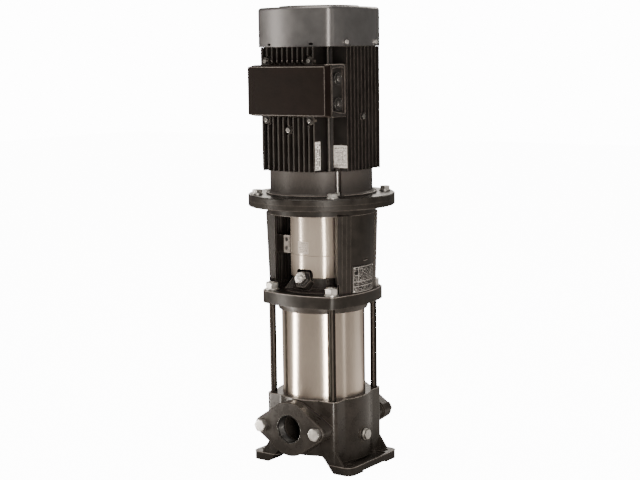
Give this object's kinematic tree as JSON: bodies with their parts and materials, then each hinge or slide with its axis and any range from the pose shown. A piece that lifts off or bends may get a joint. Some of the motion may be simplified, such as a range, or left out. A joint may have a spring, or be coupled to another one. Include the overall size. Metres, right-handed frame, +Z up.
{
  "type": "vertical multistage pump",
  "caption": "Vertical multistage centrifugal pump: in-line ports in a cast base, steel sleeve between staybolts, open stool with guarded coupling, finned motor with terminal box on top.",
  "frame": {"origin": "pump axis at the floor, in the middle of the four anchor holes", "axes": "+Z up along the shaft, -Y out of the inlet port, +Y out of the outlet port, +X towards the drain plug and the cable entries"},
  "size_m": [0.3, 0.3, 0.9355],
  "materials": {
    "black_casting": "satin black paint on a casting",
    "black_motor": "satin black paint",
    "black_steel": "blackened steel rod",
    "box_plastic": "satin black",
    "carbide": "sintered seal face and wear ring",
    "copper": "enamelled wire",
    "cover_graphite": "satin graphite",
    "gasket": "fibre gasket",
    "label": "etched plate with plain rules",
    "laminations": "laminated sheet steel",
    "plastic": "moulded black plastic",
    "plate": "etched plate with plain rules",
    "plated": "bright zinc plating",
    "rubber": "moulded rubber",
    "shaft_steel": "ground steel",
    "stainless": "brushed stainless"
  },
  "bodies": {
    "pump_frame": {"bearing_outer_rings": "shaft_steel", "cable_entry_plugs": "plastic", "chamber_1": "stainless", "chamber_2": "stainless", "chamber_3": "stainless", "chamber_4": "stainless", "coupling_guard_front": "stainless", "coupling_guard_rear": "stainless", "drain_plug": "stainless", "drive_end_shield": "black_casting", "end_shield_screws": "plated", "fan_cover": "cover_graphite", "fan_cover_screws": "plated", "fan_end_shield": "black_motor", "guard_screws": "plated", "housing_screws": "plated", "inlet_flange": "black_casting", "motor_flange_bolts": "plated", "motor_nameplate": "label", "motor_stool": "black_casting", "motor_tie_bolts": "plated", "neck_rings": "carbide", "outer_sleeve": "stainless", "outlet_flange": "black_casting", "plug_seals": "rubber", "port_flange_bolts": "plated", "port_gaskets": "gasket", "priming_plug": "stainless", "pump_base": "black_casting", "pump_head": "black_casting", "shaft_seal_seat": "stainless", "sleeve_seals": "rubber", "stack_top_plate": "stainless", "stator_core": "laminations", "stator_housing": "black_motor", "stator_winding": "copper", "staybolt_nuts": "plated", "staybolt_washers": "plated", "staybolts": "black_steel", "stool_nameplate": "plate", "terminal_board": "plastic", "terminal_box_base": "box_plastic", "terminal_box_lid": "box_plastic", "terminal_box_screws": "plated"},
    "rotor": {"motor_shaft": "shaft_steel", "rotor_core": "laminations", "cooling_fan": "plastic", "bearing_inner_rings": "shaft_steel", "coupling_half_front": "black_casting", "coupling_half_rear": "black_casting", "coupling_screws": "plated", "coupling_pin": "shaft_steel", "pump_shaft": "shaft_steel", "shaft_seal_ring": "carbide", "impeller_1": "stainless", "impeller_2": "stainless", "impeller_3": "stainless", "impeller_4": "stainless"},
    "ball_sets": {"bearing_balls": "shaft_steel"},
    "vent": {"vent_screw": "plated"}
  },
  "joints": [
    {"name": "rotor_spin", "type": "hinge", "parent": "pump_frame", "child": "rotor", "pos_m": [0, 0, 0.5], "axis": [0, 0, 1], "continuous": true},
    {"name": "ball_spin", "type": "hinge", "parent": "pump_frame", "child": "ball_sets", "pos_m": [0, 0, 0.5], "axis": [0, 0, 1], "continuous": true},
    {"name": "vent_travel", "type": "slide", "parent": "pump_frame", "child": "vent", "axis": [0, -0.866, 0.5], "range_m": [0, 0.004]}
  ],
  "couplings": [
    {"joint": "ball_spin", "follows": "rotor_spin", "ratio": 0.385}
  ]
}
